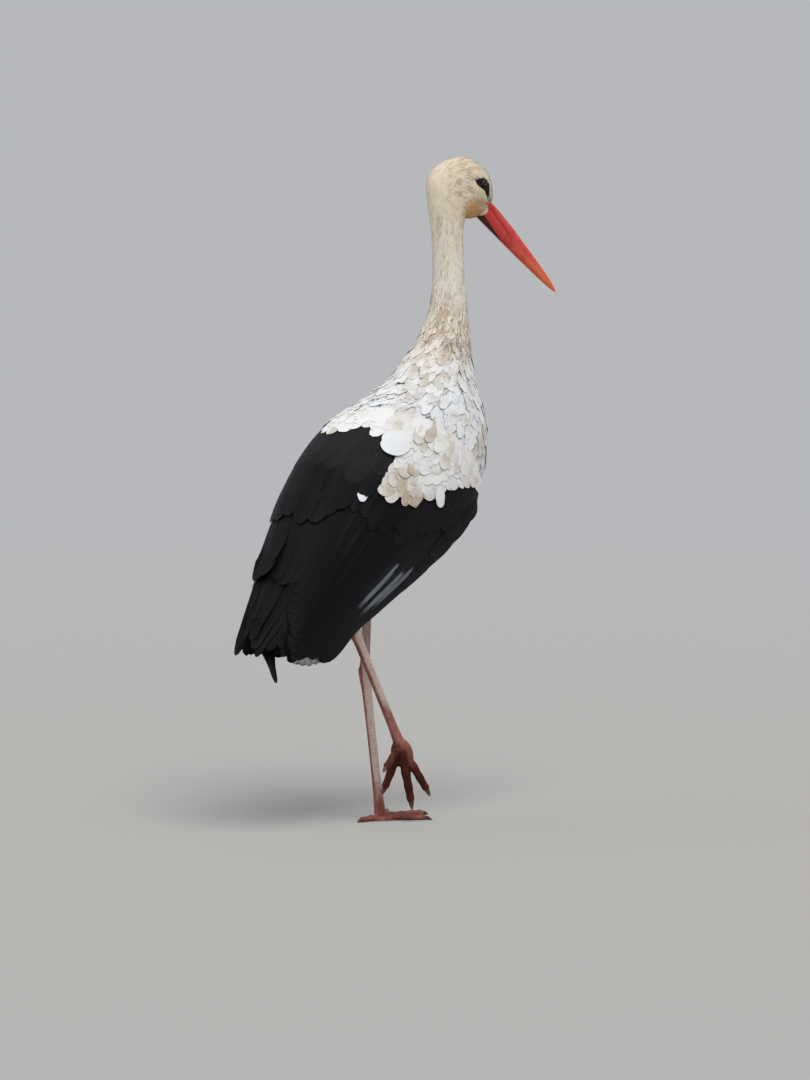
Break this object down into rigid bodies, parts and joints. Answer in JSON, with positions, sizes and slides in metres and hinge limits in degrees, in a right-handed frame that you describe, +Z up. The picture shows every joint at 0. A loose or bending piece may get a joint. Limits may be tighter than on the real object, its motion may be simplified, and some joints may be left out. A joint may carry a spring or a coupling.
{
  "type": "white stork figure",
  "caption": "Life-size white stork standing on one leg with the other foot lifted, neck upright, wings folded and long straight bill pointing down.",
  "frame": {"origin": "on the ground under the shank of the standing (left) leg, on the sole of that foot", "axes": "+Z up; the bird's trunk faces -Y; its left side is +X"},
  "size_m": [0.212, 0.6083, 1.0514],
  "materials": {
    "white_plumage": "soft matt feathers, white with cream and grey stains",
    "cream_plumage": "fine matt feathers, cream, yellower on the cheek",
    "black_plumage": "satin black flight feathers with a grey bloom on some outer webs",
    "bill_horn": "smooth red horn, more orange to the tip",
    "eye": "wet and very dark",
    "leg_skin": "scaly reddish skin with a pale dusty bloom",
    "claw_horn": "dull dark horn"
  },
  "bodies": {
    "root": {"head": "cream_plumage", "neck_upper": "cream_plumage", "neck_lower": "white_plumage", "trunk": "white_plumage", "tail": "white_plumage", "bill_upper": "bill_horn", "bill_lower": "bill_horn", "eye_left": "eye", "shoulder_coverts_left": "white_plumage", "scapulars_left": "black_plumage", "secondaries_left": "black_plumage", "primaries_left": "black_plumage", "thigh_left": "white_plumage", "shin_left": "leg_skin", "shank_left": "leg_skin", "foot_left": "leg_skin", "inner_toe_left": "leg_skin", "inner_claw_left": "claw_horn", "middle_toe_left": "leg_skin", "middle_claw_left": "claw_horn", "outer_toe_left": "leg_skin", "outer_claw_left": "claw_horn", "hind_toe_left": "leg_skin", "hind_claw_left": "claw_horn", "eye_right": "eye", "shoulder_coverts_right": "white_plumage", "scapulars_right": "black_plumage", "secondaries_right": "black_plumage", "primaries_right": "black_plumage", "thigh_right": "white_plumage", "shin_right": "leg_skin", "shank_right": "leg_skin", "foot_right": "leg_skin", "inner_toe_right": "leg_skin", "inner_claw_right": "claw_horn", "middle_toe_right": "leg_skin", "middle_claw_right": "claw_horn", "outer_toe_right": "leg_skin", "outer_claw_right": "claw_horn", "hind_toe_right": "leg_skin", "hind_claw_right": "claw_horn"}
  },
  "joints": []
}
